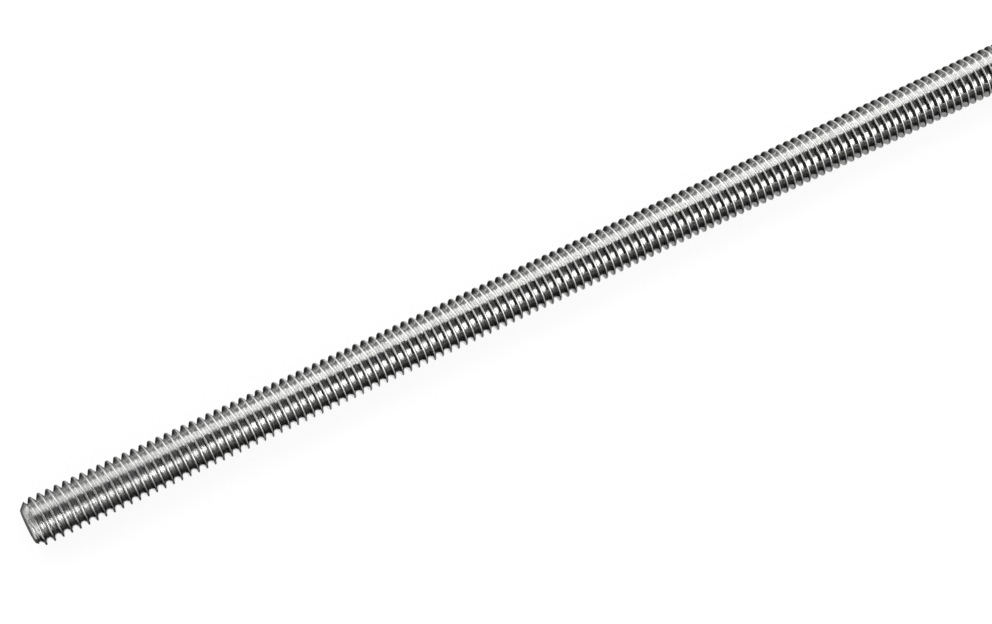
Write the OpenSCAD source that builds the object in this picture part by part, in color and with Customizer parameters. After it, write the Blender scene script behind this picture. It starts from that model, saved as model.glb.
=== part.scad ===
// Fully threaded rod: one straight steel bar with a right-hand 60 degree thread rolled over its
// whole length, sawn square and chamfered at both ends.
// The rod lies along X with its middle at the origin. Its axial section is the true one, with flat
// crests, straight flanks and round roots. Each turn is a closed ring of that section, one pitch
// from the next, so the small lead of the helix is left out and every crest is a true cylinder.

/* [Rod] */
// Length from one cut end to the other, a 12 inch stock length
rod_length = 304.8; // [60:0.1:380]
// Nominal diameter of the thread, 5/16 inch
nominal_d = 7.9375; // [6.35:0.0001:12.7]

/* [Thread] */
// Threads in each inch of length
threads_per_inch = 18; // [14:1:24]
// Angle between the two flanks of a groove
flank_angle = 60; // [55:1:60]
// Radius of the rolled root
root_r = 0.2; // [0.14:0.01:0.2]
// How far the crest diameter lies under the nominal one, in the middle of the free-fit limits
crest_allowance = 0.14; // [0.03:0.01:0.25]
// How far the pitch diameter lies under its basic value, in the middle of the same limits
pitch_allowance = 0.08; // [0.03:0.01:0.13]

/* [Ends] */
// How far the rim of the flat end face lies inside the thread root
end_step = 0.3; // [0.2:0.05:1]
// Angle of the end chamfer to the axis of the rod
chamfer_angle = 45; // [30:1:60]

/* [Hidden] */
inch = 25.4;
half_flank = flank_angle / 2;
pitch = inch / threads_per_inch;
// Height of the sharp triangle whose sides are the flanks
sharp_height = pitch / 2 / tan(half_flank);
// On the pitch diameter, thread and groove are equally wide
pitch_d = nominal_d - 0.75 * sharp_height - pitch_allowance;
crest_d = nominal_d - crest_allowance;
crest_land = pitch / 2 - (crest_d - pitch_d) * tan(half_flank);
// The root arc touches both flanks, and its centre lies this far from the axis of the rod
root_centre = (pitch_d - sharp_height) / 2 + root_r / sin(half_flank);
root_d = 2 * (root_centre - root_r);
root_half_sweep = 90 - half_flank;
root_facets = 4;
end_face_d = root_d - 2 * end_step;
// The end cone runs on past the crests, so that it cuts them clean
cone_overrun = 1;
cone_d = crest_d + 2 * cone_overrun;
cone_run = (cone_d - end_face_d) / 2 / tan(chamfer_angle);
// Crests on each side of the middle one, with one to spare past the cut end
side_crests = ceil(rod_length / 2 / pitch) + 1;
round_facets = 96;

// One crest land and the groove after it, as [distance from the axis, place along the axis]
function turn_outline(crest) = concat(
    [for (side = [-1, 1]) [crest_d / 2, crest * pitch + side * crest_land / 2]],
    [for (step = [0:root_facets])
        let (turned = root_half_sweep * (2 * step / root_facets - 1))
        [root_centre - root_r * cos(turned), (crest + 0.5) * pitch + root_r * sin(turned)]]
);

// Half of the axial section of an endless threaded bar
module thread_section() {
    polygon(concat(
        [[0, -side_crests * pitch]],
        [for (crest = [-side_crests:side_crests]) each turn_outline(crest)],
        [[0, (side_crests + 0.5) * pitch]]
    ));
}

// Half of the axial section of the space between the two cut and chamfered ends
module end_limits() {
    polygon([
        [0, -rod_length / 2],
        [end_face_d / 2, -rod_length / 2],
        [cone_d / 2, cone_run - rod_length / 2],
        [cone_d / 2, rod_length / 2 - cone_run],
        [end_face_d / 2, rod_length / 2],
        [0, rod_length / 2]
    ]);
}

// The whole rod, turned from its section and laid along X
module rod() {
    color("silver")
        rotate([0, 90, 0])
            rotate_extrude($fn = round_facets)
                intersection() {
                    thread_section();
                    end_limits();
                }
}

rod();
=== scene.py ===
import math

import bmesh
import bpy
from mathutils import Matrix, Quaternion, Vector


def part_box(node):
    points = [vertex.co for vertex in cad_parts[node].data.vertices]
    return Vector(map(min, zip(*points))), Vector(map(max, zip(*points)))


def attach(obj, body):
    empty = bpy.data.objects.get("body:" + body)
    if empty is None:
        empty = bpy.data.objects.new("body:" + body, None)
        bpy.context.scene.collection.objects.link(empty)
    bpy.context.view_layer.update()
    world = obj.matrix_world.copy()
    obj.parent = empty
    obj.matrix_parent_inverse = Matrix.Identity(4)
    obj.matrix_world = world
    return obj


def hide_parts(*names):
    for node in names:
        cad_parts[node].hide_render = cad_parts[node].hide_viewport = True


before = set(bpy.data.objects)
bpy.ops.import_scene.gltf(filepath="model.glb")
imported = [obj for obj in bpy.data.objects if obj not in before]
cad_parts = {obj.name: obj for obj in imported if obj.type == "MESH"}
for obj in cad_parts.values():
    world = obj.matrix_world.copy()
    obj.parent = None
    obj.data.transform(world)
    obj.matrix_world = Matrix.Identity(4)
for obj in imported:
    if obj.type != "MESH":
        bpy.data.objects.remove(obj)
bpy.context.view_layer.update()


# --- The rod ---------------------------------------------------------------------------------
# One bar of mild steel with a right-hand thread, 18 turns to the inch, rolled between flat dies
# over its whole length, so that its crests are full and round. It is sawn off square, chamfered
# at both ends and zinc plated bright.

MM = 0.001
rod_low, rod_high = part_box("rod")
half_length = rod_high.x
crest_radius = rod_high.z
threads_per_inch = 18
pitch = 25.4 * MM / threads_per_inch
half_flank = math.radians(30)
pitch_radius = 6.941 * MM / 2
root_round = 0.2 * MM
first_crest = 0.402 * pitch
end_step = 0.3 * MM
chamfer_angle = math.radians(45)
near_runout = Vector((0, -0.12, -0.055)) * MM
far_runout = Vector((0, 0.06, -0.05)) * MM
rim_round = 0.12 * MM

sharp_height = pitch / 2 / math.tan(half_flank)
root_centre = pitch_radius - sharp_height / 2 + root_round / math.sin(half_flank)
root_radius = root_centre - root_round
crest_round = pitch_radius + sharp_height / 2 - crest_radius
crest_centre = crest_radius - crest_round
half_round = math.pi / 2 - half_flank

root_segments = 2
crest_segments = 6
steps_per_turn = 36
spare_turns = 2
cone_steps = 96
cone_clearance = 1.0 * MM
weld_gap = 0.003 * MM
hair = 0.001 * MM

# An edge is shaded crisp where its faces turn by the first, or where a flank, which leans more
# along the axis than the second, meets a round.
sharp_angle = math.radians(40)
flank_tilt = math.sin(math.radians(55))


def arc(centre_x, centre_r, radius, start, end, segments):
    """Points on a round of the section, each as (along the axis, out from the axis)."""
    turns = [start + (end - start) * i / segments for i in range(segments + 1)]
    return [(centre_x + radius * math.sin(a), centre_r + radius * math.cos(a)) for a in turns]


def thread_section():
    """One pitch of the section, from the middle of one root to the middle of the next."""
    near_root = arc(
        -pitch / 2, root_centre, root_round, math.pi, math.pi - half_round, root_segments)
    crest = arc(0, crest_centre, crest_round, -half_round, half_round, crest_segments)
    far_root = arc(
        pitch / 2, root_centre, root_round, math.pi + half_round, math.pi, root_segments)
    return near_root + crest + far_root


def threaded_bar(bm):
    """The section swept once round the axis as it moves on by a pitch, then turn after turn."""
    start = first_crest - half_length - spare_turns * pitch
    ring = [bm.verts.new((start + x, r, 0)) for x, r in thread_section()]
    edges = [bm.edges.new(pair) for pair in zip(ring, ring[1:])]
    bmesh.ops.spin(
        bm, geom=ring + edges, cent=(0, 0, 0), axis=(1, 0, 0), angle=math.tau,
        steps=steps_per_turn, dvec=(pitch / steps_per_turn, 0, 0))
    turns = 1
    while turns * pitch < 2 * (half_length + spare_turns * pitch):
        copied = bmesh.ops.duplicate(bm, geom=bm.verts[:] + bm.edges[:] + bm.faces[:])
        moved = [part for part in copied["geom"] if isinstance(part, bmesh.types.BMVert)]
        bmesh.ops.translate(bm, verts=moved, vec=(turns * pitch, 0, 0))
        turns *= 2
    bmesh.ops.remove_doubles(bm, verts=bm.verts, dist=weld_gap)
    for end in (-1, 1):
        cut = bmesh.ops.bisect_plane(
            bm, geom=bm.verts[:] + bm.edges[:] + bm.faces[:], clear_outer=True,
            plane_co=(end * half_length, 0, 0), plane_no=(end, 0, 0))
        open_rim = [part for part in cut["geom_cut"] if isinstance(part, bmesh.types.BMEdge)]
        bmesh.ops.holes_fill(bm, edges=open_rim)
    bmesh.ops.recalc_face_normals(bm, faces=bm.faces)


def chamfer_limits(bm):
    """A spindle whose two cones are the end chamfers, and which clears the thread elsewhere.

    Each cone sits a little off the axis, as a chamfer ground by hand does.
    """
    wide = crest_radius + cone_clearance
    end_radius = root_radius - end_step
    cone = (wide - end_radius) / math.tan(chamfer_angle)
    tip = half_length + end_radius / math.tan(chamfer_angle)
    outline = [(-tip, 0), (cone - half_length, wide), (half_length - cone, wide), (tip, 0)]
    line = [bm.verts.new((x, r, 0)) for x, r in outline]
    edges = [bm.edges.new(pair) for pair in zip(line, line[1:])]
    bmesh.ops.spin(
        bm, geom=line + edges, cent=(0, 0, 0), axis=(1, 0, 0), angle=math.tau,
        steps=cone_steps, use_merge=True)
    bmesh.ops.remove_doubles(bm, verts=bm.verts, dist=hair)
    near_half = [v for v in bm.verts if v.co.x < 0]
    far_half = [v for v in bm.verts if v.co.x > 0]
    bmesh.ops.translate(bm, verts=near_half, vec=near_runout)
    bmesh.ops.translate(bm, verts=far_half, vec=far_runout)
    bmesh.ops.recalc_face_normals(bm, faces=bm.faces)


def mesh_object(name, shape):
    """A new object whose mesh is made by the function shape."""
    bm = bmesh.new()
    shape(bm)
    mesh = bpy.data.meshes.new(name)
    bm.to_mesh(mesh)
    bm.free()
    obj = bpy.data.objects.new(name, mesh)
    bpy.context.scene.collection.objects.link(obj)
    return obj


rod = mesh_object("threaded_rod", threaded_bar)
limits = mesh_object("chamfer_limits", chamfer_limits)
chamfers = rod.modifiers.new("chamfers", "BOOLEAN")
chamfers.operation = "INTERSECT"
chamfers.solver = "MANIFOLD"
chamfers.object = limits
rod.data = bpy.data.meshes.new_from_object(
    rod.evaluated_get(bpy.context.evaluated_depsgraph_get()))
rod.modifiers.clear()
bpy.data.objects.remove(limits)

# The rims of the end faces are eased, and the borders of the flanks are kept crisp.
bm = bmesh.new()
bm.from_mesh(rod.data)
rims = [
    edge for edge in bm.edges
    if all(abs(abs(v.co.x) - half_length) < hair for v in edge.verts)]
bmesh.ops.bevel(
    bm, geom=rims, offset=rim_round, segments=3, profile=0.5, affect="EDGES", material=-1)
bmesh.ops.remove_doubles(bm, verts=bm.verts, dist=hair / 2)
bmesh.ops.recalc_face_normals(bm, faces=bm.faces)
for face in bm.faces:
    face.smooth = True
for edge in bm.edges:
    tilts = [abs(face.normal.x) for face in edge.link_faces]
    beside_flank = min(tilts) < flank_tilt < max(tilts)
    edge.smooth = not beside_flank and edge.calc_face_angle() < sharp_angle
bm.to_mesh(rod.data)
bm.free()


class Wire:
    """A node's output that takes part in sums, each of which adds a Math node."""

    def __init__(self, finish, socket):
        self.finish = finish
        self.socket = socket

    def math(self, operation, first, second):
        return self.finish.node("ShaderNodeMath", {"operation": operation}, {0: first, 1: second})

    def __add__(self, other):
        return self.math("ADD", self, other)

    def __sub__(self, other):
        return self.math("SUBTRACT", self, other)

    def __rsub__(self, other):
        return self.math("SUBTRACT", other, self)

    def __mul__(self, other):
        return self.math("MULTIPLY", self, other)

    def __pow__(self, other):
        return self.math("POWER", self, other)

    __radd__ = __add__
    __rmul__ = __mul__


class Finish:
    """A material or a world whose nodes are added one call at a time."""

    def __init__(self, owner):
        owner.use_nodes = True
        self.tree = owner.node_tree

    def node(self, kind, settings=None, sockets=None, output=0):
        """Add a node, set it up, fill its sockets and hand back one of its outputs."""
        made = self.tree.nodes.new(kind)
        for name, value in (settings or {}).items():
            setattr(made, name, value)
        self.fill(made, sockets or {})
        return Wire(self, made.outputs[output])

    def fill(self, made, sockets):
        """Link a wire to each named socket, or set the socket to a plain value."""
        for name, value in sockets.items():
            if isinstance(value, Wire):
                self.tree.links.new(value.socket, made.inputs[name])
            else:
                made.inputs[name].default_value = value

    def place(self):
        """Where a point lies in millimetres: as one vector, then along, across and up."""
        metres = self.node("ShaderNodeTexCoord", output="Object")
        vector = self.node(
            "ShaderNodeVectorMath", {"operation": "SCALE"}, {"Vector": metres, "Scale": 1000.0})
        parts = [
            self.node("ShaderNodeSeparateXYZ", {}, {"Vector": vector}, output=axis)
            for axis in ("X", "Y", "Z")]
        return (vector, *parts)

    def stretch(self, along, across, up):
        """A vector of three wires, which draws a grain out the way the tool ran."""
        return self.node("ShaderNodeCombineXYZ", {}, {"X": along, "Y": across, "Z": up})

    def fade(self, value, start, end):
        """0 up to start, 1 from end on, and smooth between them."""
        return self.node(
            "ShaderNodeMapRange", {"interpolation_type": "SMOOTHSTEP"},
            {"Value": value, "From Min": start, "From Max": end})

    def grain(self, vector, scale, detail, roughness=0.5):
        """Smooth noise about 0.5, whose blots are about 1 / scale of the vector's units wide."""
        return self.node(
            "ShaderNodeTexNoise", {},
            {"Vector": vector, "Scale": scale, "Detail": detail, "Roughness": roughness})

    def blend(self, amount, low, high):
        """A colour from low to high."""
        return self.node(
            "ShaderNodeMix", {"data_type": "RGBA"}, {0: amount, 6: low, 7: high}, output=2)


bright_zinc = (0.82, 0.82, 0.81, 1)
dull_zinc = (0.58, 0.58, 0.58, 1)
pitted_zinc = (0.22, 0.22, 0.21, 1)
# A darker grey painted into the thread roots as shade.
root_shade_grey = (0.42, 0.42, 0.41, 1)
worn_crest = (0.82, 0.82, 0.81, 1)
sawn_steel = (0.14, 0.14, 0.14, 1)

steel = bpy.data.materials.new("bright_steel")
plating = Finish(steel)
place, along, across, up = plating.place()
radius = (across * across + up * up) ** 0.5
end_distance = plating.node("ShaderNodeMath", {"operation": "ABSOLUTE"}, {0: along})

# Where each kind of surface is: 0 off it and 1 on it. Each fade runs between two places, in
# millimetres from the axis or from the middle of the rod.
crest_top = crest_radius / MM
root_floor = root_radius / MM
end_face = half_length / MM
crest = plating.fade(radius, crest_top - 0.069, crest_top - 0.014)
root = plating.fade(radius, root_floor + 0.29, root_floor + 0.02)
near_end = plating.fade(along, 57.4 - end_face, 2.4 - end_face)
sawn = plating.fade(end_distance, end_face - 0.04, end_face - 0.01)

# What the rolling, the plating and the saw leave behind, as grains of different sizes.
speckle = plating.grain(place, scale=3.2, detail=3.0, roughness=0.6)
mottle = plating.grain(place, scale=0.55, detail=3.0, roughness=0.55)
patches = plating.fade(mottle, 0.42, 0.62)
pits = plating.fade(plating.grain(place, scale=7.0, detail=2.0, roughness=0.6), 0.54, 0.64)
rolled = plating.grain(
    plating.stretch(along * 9.0, across * 0.6, up * 0.6), scale=1.0, detail=2.0)
streaks = plating.fade(rolled, 0.35, 0.65)
saw_lines = plating.grain(
    plating.stretch(along, across * 0.5, up * 9.0), scale=1.0, detail=2.0)

colour = plating.blend(patches * 0.35 + near_end * 0.2, bright_zinc, dull_zinc)
colour = plating.blend(streaks * 0.3, colour, dull_zinc)
colour = plating.blend(pits * 0.7, colour, pitted_zinc)
# Speckled patches of the thread roots turn darker grey: painted shade in the recesses.
colour = plating.blend(root * plating.fade(speckle, 0.35, 0.75), colour, root_shade_grey)
colour = plating.blend(crest, colour, plating.blend(near_end * 0.8, worn_crest, dull_zinc))
colour = plating.blend(sawn, colour, sawn_steel)
roughness = (
    0.05 + speckle * 0.07 + patches * 0.04
    + crest * (0.25 - near_end * 0.13) + root * 0.14
    + near_end * 0.06 + sawn * 0.2)
height = (
    speckle * (0.0075 + near_end * 0.006) + rolled * (0.0015 + root * 0.007)
    + mottle * 0.01 + sawn * saw_lines * 0.03)
relief = plating.node("ShaderNodeBump", {}, {"Strength": 1.0, "Distance": MM, "Height": height})
plating.fill(plating.tree.nodes["Principled BSDF"], {
    "Base Color": colour,
    "Metallic": 1 - crest * (0.18 - near_end * 0.12) - sawn * 0.6,
    "Roughness": roughness,
    "Normal": relief,
})
rod.data.materials.clear()
rod.data.materials.append(steel)
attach(rod, "root")
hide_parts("rod")


# --- The floor -------------------------------------------------------------------------------
# A plain sheet of matt white paper that the rod lies on. It glows evenly to the eye and in the
# bright plating, and what is left of it takes the light and the rod's soft shadow.

floor_half = 3.0
white_paper = (0.9, 0.9, 0.9, 1)
white_glow = (1, 1, 1, 1)
seen_glow = 0.88
mirrored_glow = 0.9

bm = bmesh.new()
bmesh.ops.create_grid(bm, x_segments=1, y_segments=1, size=floor_half)
bmesh.ops.translate(bm, verts=bm.verts, vec=(0, 0, rod_low.z))
floor_mesh = bpy.data.meshes.new("floor")
bm.to_mesh(floor_mesh)
bm.free()
floor = bpy.data.objects.new("floor", floor_mesh)
bpy.context.scene.collection.objects.link(floor)

paper = bpy.data.materials.new("matt_white")
sheet = Finish(paper)
sheet.tree.nodes.remove(sheet.tree.nodes["Principled BSDF"])
seen = sheet.node("ShaderNodeLightPath", output="Is Camera Ray")
mirrored = sheet.node("ShaderNodeLightPath", output="Is Glossy Ray")
through_glass = sheet.node("ShaderNodeLightPath", output="Is Transmission Ray")
matt = sheet.node("ShaderNodeBsdfDiffuse", {}, {"Color": white_paper})
glow = sheet.node("ShaderNodeEmission", {}, {"Color": white_glow, "Strength": 1.0})
glow_share = seen * seen_glow + mirrored * mirrored_glow + through_glass * mirrored_glow
backdrop = sheet.node("ShaderNodeMixShader", {}, {0: glow_share, 1: matt, 2: glow})
sheet.fill(sheet.tree.nodes["Material Output"], {"Surface": backdrop})
floor_mesh.materials.append(paper)


# --- The cards -------------------------------------------------------------------------------
# Strips of dull black, grey and pale card laid flat beside the rod. They show only in the bright
# plating, where they make the dark and light bands that run along it. Those next to the rod, in front,
# behind and
# at the near end, are painted shadow: the rod's own shadow and contact shade on the floor, drawn as
# dark card.

def plain_card(name, grey):
    """A dull card of one grey."""
    made = bpy.data.materials.new(name)
    card = Finish(made)
    card.fill(card.tree.nodes["Principled BSDF"], {
        "Base Color": (grey, grey, grey, 1), "Roughness": 1.0, "Specular IOR Level": 0.0})
    return made


def painted_shadow_card(name):
    """A dull card, black beside the rod and paler with the distance from it: the rod's shadow on the
    floor, painted on as the plating mirrors it.
    """
    black = 0.02
    dark_grey = (0.19, 0.19, 0.19, 1)
    pale_grey = (0.79, 0.79, 0.79, 1)
    slant = 0.017
    made = plain_card(name, black)
    card = Finish(made)
    _, along_card, away, _ = card.place()
    # Painted shadow: black out to about 10 mm from the axis, dark grey by 14 mm with a slight slant
    # along the rod, pale grey by 90 mm.
    edge = card.fade(away - along_card * slant, 9.6, 14.0)
    grey = card.blend(edge, (black, black, black, 1), dark_grey)
    grey = card.blend(card.fade(away, 20.0, 90.0), grey, pale_grey)
    card.fill(card.tree.nodes["Principled BSDF"], {"Base Color": grey})
    return made


def floor_card(name, span, near, far, material, lift=0.1):
    """A card flat on the floor, its sizes in millimetres.

    It spans the rod's length from span[0] to span[1], and its edge by the rod is near[0] out from
    the axis at the first and near[1] at the second. Its other edge is far out all along.
    """
    bm = bmesh.new()
    bmesh.ops.create_grid(bm, x_segments=1, y_segments=1, size=1)
    for corner in bm.verts:
        end = 0 if corner.co.x < 0 else 1
        out_from_axis = far if corner.co.y > 0 else near[end]
        corner.co = (span[end] * MM, out_from_axis * MM, rod_low.z + lift * MM)
    bmesh.ops.recalc_face_normals(bm, faces=bm.faces)
    mesh = bpy.data.meshes.new(name)
    bm.to_mesh(mesh)
    bm.free()
    mesh.materials.append(material)
    obj = bpy.data.objects.new(name, mesh)
    obj.visible_camera = False
    obj.visible_diffuse = False
    obj.visible_shadow = False
    bpy.context.scene.collection.objects.link(obj)


black_card = plain_card("black_card", 0.015)
grey_card = plain_card("grey_card", 0.08)
contact_shade_card = plain_card("contact_shade_card", 0.55)
# The black card by the rod in front is painted shadow: the rod's shadow on the floor as the plating
# mirrors it.
floor_card("front_shadow_card", span=(-155, 50), near=(-3.0, -4.4), far=-10, material=black_card)
# The pale grey card over its edge is painted contact shade on the floor in front of the rod.
floor_card(
    "front_contact_shade_card", span=(-130, 50), near=(-4.0, -0.8), far=-4.9, material=contact_shade_card, lift=0.05)
floor_card("front_grey_card", span=(-155, 50), near=(-10, -10), far=-160, material=grey_card)
# The black card at the foot of the near end is the rod's painted contact shadow there.
floor_card(
    "end_shadow_card", span=(-157, -152.5), near=(-8, -8), far=8, material=black_card, lift=0.15)
# Behind the rod the graded card is the rod's painted shadow on the floor.
floor_card(
    "back_card", span=(-165, 200), near=(5.2, 5.2), far=90, material=painted_shadow_card("painted_shadow_card"))


# --- The light -------------------------------------------------------------------------------
# Long soft boxes behind the rod, short ones in front of it and above it, and panels off its ends,
# in a dark room whose walls give matt things a little light from all round.

lit_point = Vector((-0.05, 0, 0))


def tipped(degrees, ahead=0):
    """A direction so far from upright towards +Y, and so far round towards +X."""
    a = math.radians(degrees)
    b = math.radians(ahead)
    return (math.sin(b), math.sin(a) * math.cos(b), math.cos(a) * math.cos(b))


def soft_box(name, towards, distance, size, radiance, shape="RECTANGLE", aside=0):
    """A soft box that faces the lit point from the direction towards, then slides to one side.

    Its size is its length and its height, and aside is how far it slides towards +X.
    """
    length, height = size
    filled = math.pi / 4 if shape == "ELLIPSE" else 1
    lamp = bpy.data.lights.new(name, "AREA")
    lamp.shape = shape
    lamp.size = length
    lamp.size_y = height
    lamp.energy = radiance * math.pi * length * height * filled
    obj = bpy.data.objects.new(name, lamp)
    way = Vector(towards).normalized()
    obj.location = lit_point + way * distance + Vector((aside, 0, 0))
    obj.rotation_euler = way.to_track_quat("Z", "Y").to_euler()
    obj.visible_camera = False
    bpy.context.scene.collection.objects.link(obj)


soft_box("back_box", tipped(38), distance=0.7, size=(2.4, 0.62), radiance=1.6)
soft_box("back_low_box", tipped(82), distance=0.75, size=(1.67, 0.2), radiance=0.3, aside=-0.365)
soft_box("back_mid_box", tipped(66), distance=0.73, size=(1.67, 0.2), radiance=0.58, aside=-0.365)
soft_box("side_low_box", tipped(82), distance=0.75, size=(0.9, 0.2), radiance=0.1, aside=0.95)
soft_box("side_mid_box", tipped(67), distance=0.74, size=(0.9, 0.19), radiance=0.25, aside=0.95)
soft_box("front_box", tipped(-60, 9.5), distance=0.6, size=(0.52, 0.36), radiance=4.6, shape="ELLIPSE")
soft_box("front_low_box", tipped(-81, 14), distance=0.62, size=(0.24, 0.14), radiance=2.4)
soft_box("near_end_panel", (-1, 0, 0), distance=0.8, size=(0.7, 0.7), radiance=0.28, shape="ELLIPSE")
soft_box("far_end_panel", (1, 0, 0), distance=0.8, size=(1.0, 1.0), radiance=1.8, shape="ELLIPSE")
soft_box("near_top_panel", tipped(-25, -61), distance=0.7, size=(0.2, 0.6), radiance=0.7)
soft_box("dim_top_box", tipped(-15, 8), distance=0.6, size=(0.56, 0.46), radiance=0.055)

dark_room = 0.01
wall_light = 0.5
world = bpy.data.worlds.new("room")
bpy.context.scene.world = world
room = Finish(world)
seen_wall = room.node("ShaderNodeLightPath", output="Is Camera Ray")
matt_ray = room.node("ShaderNodeLightPath", output="Is Diffuse Ray")
room.fill(room.tree.nodes["Background"], {
    "Color": white_glow,
    "Strength": dark_room + seen_wall * (1 - dark_room) + matt_ray * wall_light,
})


# --- The camera ------------------------------------------------------------------------------
# It looks down on the rod from beyond its near end, turned a little about its line of sight. It
# keeps the left part of what the lens sees, and the rod's far end runs out of view.

view_turn = math.radians(40.255)
view_drop = math.radians(61.96)
view_roll = math.radians(10.69)
view_place = Vector((-188.98, -211.23, 460.93)) * MM
film_width = 36
focal_length = 118.07
side_shift = -0.3024
nearest_seen = 10 * MM

forward = Vector((
    math.sin(view_turn) * math.cos(view_drop),
    math.cos(view_turn) * math.cos(view_drop),
    -math.sin(view_drop)))
lens = bpy.data.cameras.new("camera")
lens.sensor_width = film_width
lens.lens = focal_length
lens.shift_x = side_shift
lens.clip_start = nearest_seen
camera = bpy.data.objects.new("camera", lens)
camera.location = view_place
upright = forward.to_track_quat("-Z", "Y")
camera.rotation_euler = (upright @ Quaternion((0, 0, 1), view_roll)).to_euler()
bpy.context.scene.collection.objects.link(camera)
bpy.context.scene.camera = camera
bpy.context.scene.view_settings.view_transform = "Standard"
